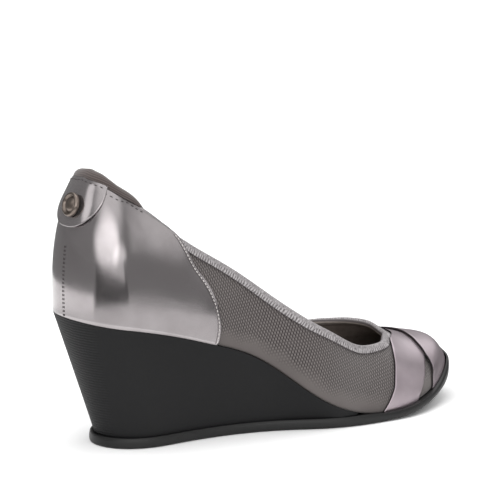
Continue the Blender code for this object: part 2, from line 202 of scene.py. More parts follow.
# a surface to lay seams on: nearest point and smooth normal
class Surface:
    def __init__(self, mesh, group):
        self.mesh = mesh
        self.faces = [tuple(mesh.polygons[i].vertices) for i in group]
        self.tree = BVHTree.FromPolygons([v.co for v in mesh.vertices], self.faces)

    def at(self, point):
        place, _, index, _ = self.tree.find_nearest(Vector(point))
        corners = self.faces[index]
        weights = [1 / ((self.mesh.vertices[i].co - place).length + 0.01 * mm) for i in corners]
        smooth = sum((self.mesh.vertices[i].normal * w for i, w in zip(corners, weights)), Vector())
        return np.array(place), np.array(smooth.normalized())


# a place moved over a surface, as far off it as before
def slideOver(face, place, goal):
    after, out = face.at(goal)
    return after + out * np.linalg.norm(place - face.at(place)[0])


# for each place on a path the nearest of some others
def nearestOf(others, path):
    return np.array([others[np.argmin(((others - p) ** 2).sum(1))] for p in path])


def lengthAlong(points):
    return np.append(0, np.cumsum(np.linalg.norm(np.diff(points, axis=0), axis=1)))


def placeAt(at, length, points):
    return np.stack([np.interp(at, length, points[:, k]) for k in range(3)], -1)


def resample(points, step, closed=False):
    points = np.asarray(points, float)
    if closed:
        points = np.vstack([points, points[:1]])
    length = lengthAlong(points)
    count = max(2, int(round(length[-1] / step)) + 1)
    return placeAt(np.linspace(0, length[-1], count), length, points)


def smoothed(values, times):
    values = np.array(values, float)
    for _ in range(times):
        values[1:-1] = values[1:-1] * 0.5 + (values[:-2] + values[2:]) * 0.25
    return values


def unit(vectors):
    return vectors / np.maximum(np.linalg.norm(vectors, axis=-1, keepdims=True), 1e-12)


def smoothStep(t):
    t = np.clip(t, 0, 1)
    return t * t * (3 - 2 * t)


# the sides of a panel's outline, split at its sharpest corners
def outlineSides(loop, corners, reach=4):
    loop = resample(loop, 1.0 * mm, closed=True)[:-1]
    ahead = unit(np.roll(loop, -reach, axis=0) - loop)
    behind = unit(loop - np.roll(loop, reach, axis=0))
    straight = (ahead * behind).sum(1)
    picked = []
    for i in np.argsort(straight):
        if all(min(abs(i - j), len(loop) - abs(i - j)) > 12 for j in picked):
            picked.append(int(i))
        if len(picked) == corners:
            break
    picked.sort()
    return [loop[np.arange(a, b + 1) % len(loop)]
            for a, b in zip(picked, picked[1:] + [picked[0] + len(loop)])]


def finishPiece(piece, nodeName, slotName, *finishes):
    for finish in finishes:
        piece.data.materials.append(finish)
    if nodeName:
        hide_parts(nodeName)
    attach(piece, "root")


# pattern that runs as a sine of the given pitch along a direction
def wave(tree, place, direction, pitchMm, phase=0.0):
    along = addNode(tree, "ShaderNodeVectorMath", {1: direction}, {0: place}, operation="DOT_PRODUCT")
    turned = addNode(tree, "ShaderNodeMath", {1: 2 * math.pi / (pitchMm * mm), 2: phase},
                     {0: along.outputs["Value"]}, operation="MULTIPLY_ADD")
    return addNode(tree, "ShaderNodeMath", None, {0: turned.outputs[0]}, operation="SINE").outputs[0]


# clouds as large as the looks say, and the two colours mixed by them
def mottle(tree, place, looks, detail=2.0):
    cloud = addNode(tree, "ShaderNodeTexNoise", {"Scale": 1 / (looks["cloudMm"] * mm), "Detail": detail},
                    {"Vector": place}).outputs["Fac"]
    mix = addNode(tree, "ShaderNodeMix", {6: linear(looks["colour"]), 7: linear(looks["dark"])},
                  {0: cloud}, data_type="RGBA")
    return cloud, mix.outputs[2]


pewter = {"colour": "#b3aeaf", "dark": "#9b9596", "cloudMm": 14.0, "roughness": (0.12, 0.19)}


# foil-coated split leather, pressed smooth and ironed: nearly a mirror, a little uneven
def pewterLeather():
    finish, tree, shader = newMaterial("pewter foil leather", Metallic=0.92)
    place = addNode(tree, "ShaderNodeTexCoord").outputs["Object"]
    cloud, colour = mottle(tree, place, pewter, 3.0)
    smooth, dull = pewter["roughness"]
    sheen = addNode(tree, "ShaderNodeMapRange", {"From Min": 0.35, "From Max": 0.7, "To Min": smooth,
                                                 "To Max": dull}, {"Value": cloud})
    wire(shader, Base_Color=colour, Roughness=sheen.outputs[0])
    return finish


mauve = {"colour": "#b3a8ad", "dark": "#9a8e94", "cloudMm": 11.1, "roughness": 0.34, "grainMm": 0.5}


# metallised nappa: satin, with a soft brushed grain
def mauveLeather():
    finish, tree, shader = newMaterial("mauve metallised nappa", Metallic=0.78,
                                       Roughness=mauve["roughness"])
    place = addNode(tree, "ShaderNodeTexCoord").outputs["Object"]
    pores = addNode(tree, "ShaderNodeTexVoronoi", {"Scale": 1 / (mauve["grainMm"] * mm)},
                    {"Vector": place})
    fine = addNode(tree, "ShaderNodeBump", {"Strength": 0.35, "Distance": 0.04 * mm},
                   {"Height": pores.outputs["Distance"]})
    wire(shader, Base_Color=mottle(tree, place, mauve, 4.0)[1], Normal=fine.outputs["Normal"])
    return finish


inked = {"colour": "#2b2426", "dark": "#191416", "cloudMm": 0.4}


# cut edge of the straps, inked dark: matt, with a hint of fibres
def inkedEdge():
    finish, tree, shader = newMaterial("inked leather edge", Roughness=0.6)
    place = addNode(tree, "ShaderNodeTexCoord").outputs["Object"]
    wire(shader, Base_Color=mottle(tree, place, inked)[1])
    return finish


knit = {
    "rib": "#686260",
    "valley": "#3c3635",
    "hole": "#1d1517",
    "ribMm": 1.65,
    "holeMm": 1.5,
    "rise": math.radians(9),  # the ribs climb towards the toe
    "waverMm": 16.67,
    "cloudMm": 28.6,
    "patchMm": 8.33,
    "plain": 0.38,  # tone of the cloth near the sole, between valley and rib
}


# warp knit with ribs and open stitches between them: matt, soft and full of small dark holes.
# Ribs and holes are drawn about twice as coarse as real ones, so that they show
def ribbedKnit():
    finish, tree, shader = newMaterial("ribbed stretch knit", Roughness=0.85, Sheen_Weight=0.25,
                                       Sheen_Roughness=0.5)
    place = addNode(tree, "ShaderNodeTexCoord").outputs["Object"]
    wobble = addNode(tree, "ShaderNodeTexNoise", {"Scale": 1 / (knit["waverMm"] * mm), "Detail": 2.0},
                     {"Vector": place})
    shifted = addNode(tree, "ShaderNodeVectorMath", {1: (0.5, 0.5, 0.5)},
                      {0: wobble.outputs["Color"]}, operation="SUBTRACT")
    bent = addNode(tree, "ShaderNodeVectorMath", {1: (1.2 * mm,) * 3},
                   {0: shifted.outputs[0]}, operation="MULTIPLY")
    moved = addNode(tree, "ShaderNodeVectorMath", None, {0: place, 1: bent.outputs[0]}).outputs[0]
    up = (-math.sin(knit["rise"]), 0.0, math.cos(knit["rise"]))
    along = (math.cos(knit["rise"]), 0.0, math.sin(knit["rise"]))
    ribs = wave(tree, moved, up, knit["ribMm"])
    columns = wave(tree, moved, along, knit["holeMm"])
    rows = wave(tree, moved, up, knit["ribMm"] * 2, math.pi / 4)
    lattice = addNode(tree, "ShaderNodeMath", None, {0: columns, 1: rows}, operation="MULTIPLY")
    # the stretch panel ends in plain cloth near the sole, along a ragged line
    above = addNode(tree, "ShaderNodeAttribute", attribute_name="aboveFeather")
    patchy = addNode(tree, "ShaderNodeTexNoise", {"Scale": 1 / (knit["patchMm"] * mm)}, {"Vector": place})
    edge = addNode(tree, "ShaderNodeMath", {1: 9.0}, {0: patchy.outputs["Fac"]}, operation="MULTIPLY")
    height = addNode(tree, "ShaderNodeMath", None, {0: above.outputs["Fac"], 1: edge.outputs[0]},
                     operation="SUBTRACT")
    fade = addNode(tree, "ShaderNodeMapRange", {"From Min": -1.0, "From Max": 6.0},
                   {"Value": height.outputs[0]})
    holes = addNode(tree, "ShaderNodeMapRange", {"From Min": 0.10, "From Max": 0.50},
                    {"Value": lattice.outputs[0]})
    holes = addNode(tree, "ShaderNodeMath", None, {0: holes.outputs[0], 1: fade.outputs[0]},
                    operation="MULTIPLY")
    ribShare = addNode(tree, "ShaderNodeMapRange", {"From Min": -1.0, "From Max": 1.0}, {"Value": ribs})
    ribShare = addNode(tree, "ShaderNodeMix", {2: knit["plain"]},
                       {0: fade.outputs[0], 3: ribShare.outputs[0]}, data_type="FLOAT")
    cloud = addNode(tree, "ShaderNodeTexNoise", {"Scale": 1 / (knit["cloudMm"] * mm), "Detail": 5.0},
                    {"Vector": place})
    soft = addNode(tree, "ShaderNodeMath", {1: 0.35}, {0: cloud.outputs["Fac"], 2: ribShare.outputs[0]},
                   operation="MULTIPLY_ADD")
    ground = addNode(tree, "ShaderNodeMix", {6: linear(knit["valley"]), 7: linear(knit["rib"])},
                     {0: soft.outputs[0]}, data_type="RGBA")
    tone = addNode(tree, "ShaderNodeMix", {7: linear(knit["hole"])},
                   {0: holes.outputs[0], 6: ground.outputs[2]}, data_type="RGBA")
    relief = addNode(tree, "ShaderNodeMath", {1: -1.4}, {0: holes.outputs[0], 2: ribShare.outputs[0]},
                     operation="MULTIPLY_ADD")
    yarn = addNode(tree, "ShaderNodeBump", {"Strength": 0.7, "Distance": 0.22 * mm},
                   {"Height": relief.outputs[0]})
    wire(shader, Base_Color=tone.outputs[2], Normal=yarn.outputs["Normal"])
    return finish


lining = {"colour": "#857b74", "dark": "#5d534d", "cloudMm": 3.33, "ribMm": 1.1}


# brushed tricot on the inside of the upper: pale, matt and fuzzy
def tricotLining():
    finish, tree, shader = newMaterial("brushed tricot lining", Roughness=0.95)
    place = addNode(tree, "ShaderNodeTexCoord").outputs["Object"]
    ribs = wave(tree, place, (0.0, 0.0, 1.0), lining["ribMm"])
    fine = addNode(tree, "ShaderNodeBump", {"Strength": 0.4, "Distance": 0.1 * mm}, {"Height": ribs})
    wire(shader, Base_Color=mottle(tree, place, lining, 4.0)[1], Normal=fine.outputs["Normal"])
    return finish


binding = {
    "colour": "#aeaaab",
    "dark": "#575253",
    # colours across the tape, from and to in mm: painted shadow at its lower edge, painted shade on the
    # inner turn of the fold, then the lining's own colour
    "bands": [(0.55, 0.15, "#3c3637"), (5.4, 6.0, "#4a4444"), (6.7, 7.1, "#8b827c")],
    "startX": -67.5 * mm,
    "drop": 3.9 * mm,
    "innerDrop": 1.6 * mm,
    "thick": 0.55 * mm,
    "gap": 0.18 * mm,
    "stepMm": 0.4,
    "gatherMm": 1.6,
    "gatherDeep": 0.34 * mm,
    "emergeMm": 9.0,
    "pressFromMm": 60,  # along X, where the crossing strap presses it flat
    "press": 0.35 * mm,
}


# gathered elastic tape with a lurex thread: smooth along its fold, in short strokes below it, with
# painted shadow along its lower edge and painted shade on its inner turn
def silverElastic():
    finish, tree, shader = newMaterial("silver lurex elastic", Roughness=0.55, Metallic=0.2)
    place = addNode(tree, "ShaderNodeUVMap", uv_map="tape").outputs["UV"]  # in millimetres
    axes = addNode(tree, "ShaderNodeSeparateXYZ", None, {0: place})
    wander = addNode(tree, "ShaderNodeTexNoise", {"Scale": 0.25, "Detail": 2.0}, {"Vector": place})
    phase = addNode(tree, "ShaderNodeMath", {1: 9.0}, {0: wander.outputs["Fac"]}, operation="MULTIPLY")
    turned = addNode(tree, "ShaderNodeMath", {1: 2 * math.pi / binding["gatherMm"]},
                     {0: axes.outputs["X"], 2: phase.outputs[0]}, operation="MULTIPLY_ADD")
    strokes = addNode(tree, "ShaderNodeMath", None, {0: turned.outputs[0]}, operation="SINE")
    gathered = addNode(tree, "ShaderNodeMapRange", {"From Min": 3.0, "From Max": 1.9},
                       {"Value": axes.outputs["Y"]})
    struck = addNode(tree, "ShaderNodeMath", None, {0: strokes.outputs[0], 1: gathered.outputs[0]},
                     operation="MULTIPLY")
    stretched = addNode(tree, "ShaderNodeMapping", {"Scale": (2.4, 0.7, 1.0)}, {"Vector": place})
    threads = addNode(tree, "ShaderNodeTexNoise", {"Scale": 1.0, "Detail": 3.0},
                      {"Vector": stretched.outputs[0]})
    both = addNode(tree, "ShaderNodeMath", {1: 0.20}, {0: struck.outputs[0], 2: threads.outputs["Fac"]},
                   operation="MULTIPLY_ADD")
    ramp = addNode(tree, "ShaderNodeMapRange", {"From Min": 0.30, "From Max": 0.72},
                   {"Value": both.outputs[0]})
    colour = addNode(tree, "ShaderNodeMix", {6: linear(binding["dark"]), 7: linear(binding["colour"])},
                     {0: ramp.outputs[0]}, data_type="RGBA").outputs[2]
    # painted shadow at the lower edge, painted shade on the inner turn, then the lining's colour
    for start, stop, shade in binding["bands"]:
        share = addNode(tree, "ShaderNodeMapRange", {"From Min": start, "From Max": stop},
                        {"Value": axes.outputs["Y"]})
        colour = addNode(tree, "ShaderNodeMix", {7: linear(shade)}, {0: share.outputs[0], 6: colour},
                         data_type="RGBA").outputs[2]
    fine = addNode(tree, "ShaderNodeBump", {"Strength": 0.6, "Distance": 0.2 * mm},
                   {"Height": both.outputs[0]})
    wire(shader, Base_Color=colour, Normal=fine.outputs["Normal"])
    return finish


collar = {
    "rib": "#564c49",
    "valley": "#322a29",
    "ribMm": 1.3,
    "crossMm": 1.0,
    "frontX": -85.5 * mm,
    "taperMm": 15,
    # section in mm: outwards from the middle of the upper's edge, and up from it
    "section": [(-2.2, -16.0), (-3.9, -11.0), (-5.6, -5.0), (-6.2, 0.0), (-5.2, 4.2), (-2.6, 6.4),
                (0.4, 6.0), (2.2, 4.2), (2.8, 2.2), (2.1, 0.7), (0.9, 0.5), (-1.3, 0.7), (-1.7, -4.0),
                (-1.9, -13.0)],
}


# fine rib knit over the collar foam: matt and dark. The ribs are coarser than real ones, to show
def collarKnit():
    finish, tree, shader = newMaterial("fine rib collar knit", Roughness=0.9, Sheen_Weight=0.3)
    place = addNode(tree, "ShaderNodeUVMap", uv_map="knit").outputs["UV"]  # in metres
    ribs = wave(tree, place, (0.0, 1.0, 0.0), collar["ribMm"])
    cross = wave(tree, place, (1.0, 0.35, 0.0), collar["crossMm"])
    both = addNode(tree, "ShaderNodeMath", {1: 0.5}, {0: cross, 2: ribs}, operation="MULTIPLY_ADD")
    share = addNode(tree, "ShaderNodeMapRange", {"From Min": -1.2, "From Max": 1.2},
                    {"Value": both.outputs[0]})
    mix = addNode(tree, "ShaderNodeMix", {6: linear(collar["valley"]), 7: linear(collar["rib"])},
                  {0: share.outputs[0]}, data_type="RGBA")
    fine = addNode(tree, "ShaderNodeBump", {"Strength": 0.6, "Distance": 0.15 * mm},
                   {"Height": share.outputs[0]})
    wire(shader, Base_Color=mix.outputs[2], Normal=fine.outputs["Normal"])
    return finish


foam = {"colour": "#171718", "dark": "#121213", "cloudMm": 1.111, "rowMm": 1.5, "dotMm": 1.111}


# moulded foam rubber: matt charcoal, with a fine skin, and a dotted texture at its back
def foamRubber():
    finish, tree, shader = newMaterial("moulded foam rubber", Roughness=0.6, Specular_IOR_Level=0.22)
    place = addNode(tree, "ShaderNodeTexCoord").outputs["Object"]
    skin, colour = mottle(tree, place, foam, 3.0)
    facing = addNode(tree, "ShaderNodeSeparateXYZ", None,
                     {0: addNode(tree, "ShaderNodeNewGeometry").outputs["Normal"]})
    atBack = addNode(tree, "ShaderNodeMapRange", {"From Min": -0.72, "From Max": -0.82},
                     {"Value": facing.outputs["X"]})
    rows = wave(tree, place, (0.0, 0.0, 1.0), foam["rowMm"])
    dots = addNode(tree, "ShaderNodeTexVoronoi", {"Scale": 1 / (foam["dotMm"] * mm)}, {"Vector": place})
    rough = addNode(tree, "ShaderNodeMath", None, {0: rows, 1: dots.outputs["Distance"]})
    moulded = addNode(tree, "ShaderNodeMath", None, {0: rough.outputs[0], 1: atBack.outputs[0]},
                      operation="MULTIPLY")
    relief = addNode(tree, "ShaderNodeMath", {1: 4.0}, {0: moulded.outputs[0], 2: skin},
                     operation="MULTIPLY_ADD")
    fine = addNode(tree, "ShaderNodeBump", {"Strength": 0.3, "Distance": 0.06 * mm},
                   {"Height": relief.outputs[0]})
    wire(shader, Base_Color=colour, Normal=fine.outputs["Normal"])
    return finish


outsole = {
    "colour": "#181818",
    "dark": "#101010",
    "cloudMm": 2.0,
    "treadMm": 4.0,
    "tipCentre": (84.0, 8.0),  # in mm, as the pull
    "tipPull": 1.7,
}


# dense moulded rubber of the sole: black, a little glossier than the wedge, with a fine tread below
def soleRubber():
    finish, tree, shader = newMaterial("moulded sole rubber", Roughness=0.42, Specular_IOR_Level=0.35)
    place = addNode(tree, "ShaderNodeTexCoord").outputs["Object"]
    skin, colour = mottle(tree, place, outsole, 4.0)
    facing = addNode(tree, "ShaderNodeSeparateXYZ", None,
                     {0: addNode(tree, "ShaderNodeNewGeometry").outputs["Normal"]})
    under = addNode(tree, "ShaderNodeMapRange", {"From Min": -0.8, "From Max": -0.95},
                    {"Value": facing.outputs["Z"]})
    bars = wave(tree, place, (1.0, 0.0, 0.0), outsole["treadMm"])
    tread = addNode(tree, "ShaderNodeMath", None, {0: bars, 1: under.outputs[0]}, operation="MULTIPLY")
    relief = addNode(tree, "ShaderNodeMath", {1: 6.0}, {0: tread.outputs[0], 2: skin},
                     operation="MULTIPLY_ADD")
    fine = addNode(tree, "ShaderNodeBump", {"Strength": 0.5, "Distance": 0.08 * mm},
                   {"Height": relief.outputs[0]})
    wire(shader, Base_Color=colour, Normal=fine.outputs["Normal"])
    return finish


sock = {"colour": "#463c37", "dark": "#2d2623", "cloudMm": 1.43}


# sueded sock lining over the insole board: dull brown, with a short nap
def sockLeather():
    finish, tree, shader = newMaterial("sock lining suede", Roughness=0.9)
    place = addNode(tree, "ShaderNodeTexCoord").outputs["Object"]
    nap, colour = mottle(tree, place, sock, 5.0)
    fine = addNode(tree, "ShaderNodeBump", {"Strength": 0.4, "Distance": 0.1 * mm}, {"Height": nap})
    wire(shader, Base_Color=colour, Normal=fine.outputs["Normal"])
    return finish


stud = {
    "colour": "#9c9087",
    "dark": "#6f655f",
    "cloudMm": 1.25,
    "moved": (0.9 * mm, -1.6 * mm, 4.0 * mm),  # with the shorter tab
    # profile from the middle outwards: radius and height in mm
    "profile": [(0.0, 1.9), (1.5, 1.8), (2.9, 1.35), (3.8, 0.7), (4.1, 0.35), (4.4, 0.5), (4.8, 1.35),
                (5.3, 1.65), (5.8, 1.5), (6.25, 0.8), (6.3, 0.0), (6.2, -0.8)],
    "sunk": 0.2,
    "steps": 56,
}


# brass with a gunmetal plating: a warm dark gloss, worn in small spots
def gunmetal():
    finish, tree, shader = newMaterial("gunmetal plated brass", Metallic=1.0, Roughness=0.33)
    place = addNode(tree, "ShaderNodeTexCoord").outputs["Object"]
    wire(shader, Base_Color=mottle(tree, place, stud, 3.0)[1])
    return finish


# bonded polyester sewing thread: satin, with its twist across each stitch
def thread(name, colour):
    finish, tree, shader = newMaterial(name, Roughness=0.6, Base_Color=linear(colour))
    place = addNode(tree, "ShaderNodeTexCoord").outputs["Object"]
    twist = wave(tree, place, (0.6, 0.3, 0.74), 0.35)
    fine = addNode(tree, "ShaderNodeBump", {"Strength": 0.5, "Distance": 0.05 * mm}, {"Height": twist})
    wire(shader, Normal=fine.outputs["Normal"])
    return finish


finishes = {
    "pewter": pewterLeather(),
    "mauve": mauveLeather(),
    "edge": inkedEdge(),
    "knit": ribbedKnit(),
    "lining": tricotLining(),
    "elastic": silverElastic(),
    "collar": collarKnit(),
    "foam": foamRubber(),
    "sole": soleRubber(),
    "sock": sockLeather(),
    "stud": gunmetal(),
    # the charcoal thread also colours the painted seam shadow beside the counter seams
    "darkThreadAndSeamShadow": thread("charcoal thread and painted seam shadow", "#3b3536"),
    "paleThread": thread("silver grey thread", "#bdb8b6"),
}
print("finishes made:", len(finishes))


# sharp borders hold their place under subdivision
def holdEdges(piece, angle, crease):
    bm = bmesh.new()
    bm.from_mesh(piece.data)
    layer = bm.edges.layers.float.get("crease_edge") or bm.edges.layers.float.new("crease_edge")
    for edge in bm.edges:
        if len(edge.link_faces) == 2 and edge.calc_face_angle() > math.radians(angle):
            edge[layer] = crease
    bm.to_mesh(piece.data)
    bm.free()


# rounded, with the cage pushed out so that the surface still goes through the solid's corners
def subdivide(piece, levels, rounds=4):
    goal = vertexPlaces(piece.data)
    cage = goal.copy()
    rounding = piece.modifiers.new("rounding", "SUBSURF")
    rounding.levels = rounding.render_levels = levels
    for _ in range(rounds):
        bpy.context.view_layer.update()
        reached = piece.evaluated_get(bpy.context.evaluated_depsgraph_get()).to_mesh()
        cage += 0.85 * (goal - vertexPlaces(reached)[:len(goal)])
        setPlaces(piece.data, cage)
    applyAll(piece)


def paintRegion(mesh, group, slot):
    for index in group:
        mesh.polygons[index].material_index = slot


# in mm: the rim's rise, where along X it starts and ends, and how far down it blends
upper = {"levels": 2, "rimRise": 3.3, "riseFrom": 22, "riseTo": 77, "riseReach": 15}


# the inner side's rim stands a little higher beside the throat than the solid's
def raiseInnerRim(mesh, rim):
    places = vertexPlaces(mesh) / mm
    for i, (x, y, z) in enumerate(places):
        weight = smoothStep((y + 1) / 10) * smoothStep((x - upper["riseFrom"]) / 36)
        weight *= 1 - smoothStep((x - upper["riseTo"]) / 12)
        if weight > 0.01:
            far = np.sqrt(((rim - (x, y, z)) ** 2).sum(1).min())
            places[i, 2] += upper["rimRise"] * weight * (1 - smoothStep(far / upper["riseReach"]))
    setPlaces(mesh, places * mm)


def makeUpper():
    piece = copyNode("upper", "upperKnit")
    holdEdges(piece, 50, 0.8)
    subdivide(piece, upper["levels"])
    mesh = piece.data
    regions = smoothRegions(mesh)
    rim = borderLoops(mesh, regions[0])[-1] / mm
    raiseInnerRim(mesh, rim)
    bottom = borderLoops(mesh, regions[0])[0]
    tree = BVHTree.FromPolygons([tuple(p) for p in bottom] + [tuple(p + (0, 0, 1e-5)) for p in bottom],
                                [(i, (i + 1) % len(bottom), (i + 1) % len(bottom) + len(bottom),
                                  i + len(bottom)) for i in range(len(bottom))])
    layer = mesh.attributes.new("aboveFeather", "FLOAT", "POINT")  # in millimetres
    layer.data.foreach_set("value", [tree.find_nearest(v.co)[3] / mm for v in mesh.vertices])
    paintRegion(mesh, regions[1], 1)
    mesh.shade_smooth()
    finishPiece(piece, "upper", "knit", finishes["knit"], finishes["lining"])
    return piece, regions, rim


upperPiece, upperRegions, solidRim = makeUpper()
print("upper: knit shell of", len(upperPiece.data.polygons), "faces")


def makePanel(nodeName, pieceName, finish, slotName, edgeFinish, levels=2):
    piece = copyNode(nodeName, pieceName)
    holdEdges(piece, 50, 0.7)
    subdivide(piece, levels)
    regions = smoothRegions(piece.data)
    for group in regions[2:]:
        paintRegion(piece.data, group, 1)
    piece.data.shade_smooth()
    finishPiece(piece, nodeName, slotName, finish, edgeFinish)
    return piece, regions


counterPiece, counterRegions = makePanel("heel_counter", "counterLeather", finishes["pewter"],
                                         "counter_leather", finishes["pewter"])


# in mm: the front corners, how far round them the leather moves, and where to
counter = {"corners": [(-76, -17, 113), (-76, 18, 113)], "reach": 34, "shift": (9.0, 0.0, -6.2)}


# the counter's front corners reach a little further down the topline than the solid's
def stretchCorners(piece):
    knitFace = Surface(upperPiece.data, upperRegions[0])
    places = vertexPlaces(piece.data)
    moved = places.copy()
    for corner in counter["corners"]:
        far = np.linalg.norm(places / mm - corner, axis=1)
        weight = 1 - smoothStep(far / counter["reach"])
        for i in np.nonzero(weight > 0.005)[0]:
            goal = places[i] + weight[i] * mm * np.array(counter["shift"])
            moved[i] = slideOver(knitFace, places[i], goal)
    setPlaces(piece.data, moved)


stretchCorners(counterPiece)
crossingPiece, crossingRegions = makePanel("crossing_strap", "crossingStrapLeather", finishes["mauve"],
                                           "strap_leather", finishes["edge"])
toePiece, _ = makePanel("toe_strap", "toeStrapLeather", finishes["mauve"],
                        "strap_leather", finishes["edge"])
tabPiece, tabRegions = makePanel("heel_tab", "tabLeather", finishes["pewter"],
                                 "counter_leather", finishes["pewter"])

tab = {"length": 0.84}  # share of the solid's


# the tab is shorter than the solid's, and lies along the counter all the same
def shortenTab(piece):
    counterFace = Surface(counterPiece.data, counterRegions[0])
    places = vertexPlaces(piece.data)
    top = places[:, 2].max()
    setPlaces(piece.data, [slideOver(counterFace, p, (p[0], p[1], top - (top - p[2]) * tab["length"]))
                           for p in places])


shortenTab(tabPiece)

# in mm: how far back the rear edge goes, and the heights between which it does so
crossing = {
    "topBack": 5.2,
    "topHeights": (29, 37.5),
    "soleBack": 8.0,
    "soleHeights": (18, 4),
    "reach": 15,
}


# the rear edge lies back against the binding at the top, and on the outer side at the sole as well
def moveRearEdge(piece, group):
    loop = max(borderLoops(piece.data, group), key=len)
    # a side with few points is an end of the strap
    rear = min(outlineSides(loop, 4), key=lambda side: side[:, 0].mean() + 1000 * (len(side) < 40))
    knitFace = Surface(upperPiece.data, upperRegions[0])
    places = vertexPlaces(piece.data)
    moved = places.copy()
    for i, p in enumerate(places):
        far = np.sqrt(((rear - p) ** 2).sum(1).min()) / mm
        weight = 1 - smoothStep(far / crossing["reach"])
        nearTop, nearSole = (np.clip((p[2] / mm - start) / (stop - start), 0, 1)
                             for start, stop in (crossing["topHeights"], crossing["soleHeights"]))
        back = crossing["topBack"] * nearTop ** 2.2 + crossing["soleBack"] * nearSole ** 1.5 * (p[1] < 0)
        if weight * back >= 0.05:
            moved[i] = slideOver(knitFace, p, p - (weight * back * mm, 0, 0))
    setPlaces(piece.data, moved)


raiseInnerRim(crossingPiece.data, solidRim)
raiseInnerRim(toePiece.data, solidRim)
moveRearEdge(crossingPiece, crossingRegions[0])
print("leather panels made")


def upperRims():  # outer and inner
    return [borderLoops(upperPiece.data, region)[-1] for region in upperRegions[:2]]


def makeBinding():
    outerTop, innerTop = upperRims()
    outside = Surface(upperPiece.data, upperRegions[0])
    # open the loop at the heel and start on the outer side
    back = int(np.argmin(outerTop[:, 0]))
    path = np.roll(outerTop, -back, axis=0)
    if path[len(path) // 4, 1] > 0:
        path = path[::-1]
    path = path[path[:, 0] > binding["startX"]]
    path = smoothed(resample(path, binding["stepMm"] * mm), 12)
    count = len(path)
    tangent = unit(smoothed(np.gradient(path, axis=0), 20))
    partner = smoothed(nearestOf(innerTop, path), 30)
    across = unit(smoothed(path - partner, 60))
    middle = smoothed((path + partner) / 2, 120)
    down = np.cross(across, tangent)
    down = unit(down) * np.sign(-down[count // 3, 2])
    half = np.linalg.norm(path - partner, axis=1)[:, None] / 2
    at = np.arange(count) * binding["stepMm"]
    fromEnd = np.minimum(at, at[-1] - at)
    emerge = smoothStep(fromEnd / binding["emergeMm"])
    front = smoothStep((path[:, 0] / mm + 50) / 90)
    jitter = np.array([noise.noise((s * 0.19, 3.1, 0.7)) for s in at])
    lumps = np.array([noise.noise((s * 0.55, 8.4, 2.2)) for s in at])
    ripple = 0.5 - np.abs(np.sin(math.pi * at / binding["gatherMm"] + 2.2 * jitter))
    gather = binding["gatherDeep"] * ((0.35 + 0.65 * front) * ripple + 0.35 * lumps)
    under = smoothStep((path[:, 0] / mm - binding["pressFromMm"]) / 9)
    gather = gather * (1 - 0.6 * under)
    rows = []
    legRows, arcRows, innerRows = 11, 7, 6
    for k in range(legRows):
        share = 1 - k / legRows
        drop = binding["drop"] * share * (0.25 + 0.75 * emerge)
        points = path + down * drop[:, None]
        placed = [outside.at(p) for p in points]
        base = np.array([p for p, n in placed])
        normal = unit(smoothed(np.array([n for p, n in placed]), 8))
        puff = math.sin(math.pi * min(1.0, 0.18 + 0.75 * share)) * 0.35 + 0.75
        out = binding["gap"] + binding["thick"] * (0.35 + 0.65 * emerge) * puff
        out = out + gather * smoothStep(share * 1.5) * emerge - binding["press"] * under
        rows.append(base + normal * out[:, None])
    for k in range(arcRows):
        turn = math.pi * k / (arcRows - 1)
        radius = half + binding["gap"] + binding["thick"] * (0.3 + 0.6 * emerge[:, None])
        rise = binding["gap"] + binding["thick"] * (0.45 + 0.75 * emerge[:, None])
        rows.append(middle + across * radius * math.cos(turn) - down * rise * math.sin(turn))
    innerEnd = rows[-1]
    for k in range(1, innerRows + 1):
        share = k / innerRows
        drop = binding["innerDrop"] * share * (0.25 + 0.75 * emerge)
        rows.append(innerEnd + down * drop[:, None] - across * (gather * 0.5 * share)[:, None])
    grid = np.stack(rows)  # rows x columns
    piece, row, column = layGrid("gatheredBinding", grid)
    width = np.append(0, np.cumsum(np.linalg.norm(np.diff(grid, axis=0), axis=2).mean(1))) / mm
    layer = piece.data.uv_layers.new(name="tape")
    for loop in piece.data.loops:
        v = loop.vertex_index
        layer.data[loop.index].uv = (at[column[v]], width[row[v]])
    thick = piece.modifiers.new("tape thickness", "SOLIDIFY")
    thick.thickness = binding["thick"] * 0.7
    thick.offset = 0.0
    applyAll(piece)
    turnFacesOut(piece)
    piece.data.shade_smooth()
    finishPiece(piece, "topline_binding", "elastic", finishes["elastic"])
    return piece


bindingPiece = makeBinding()
print("binding:", len(bindingPiece.data.polygons), "faces")


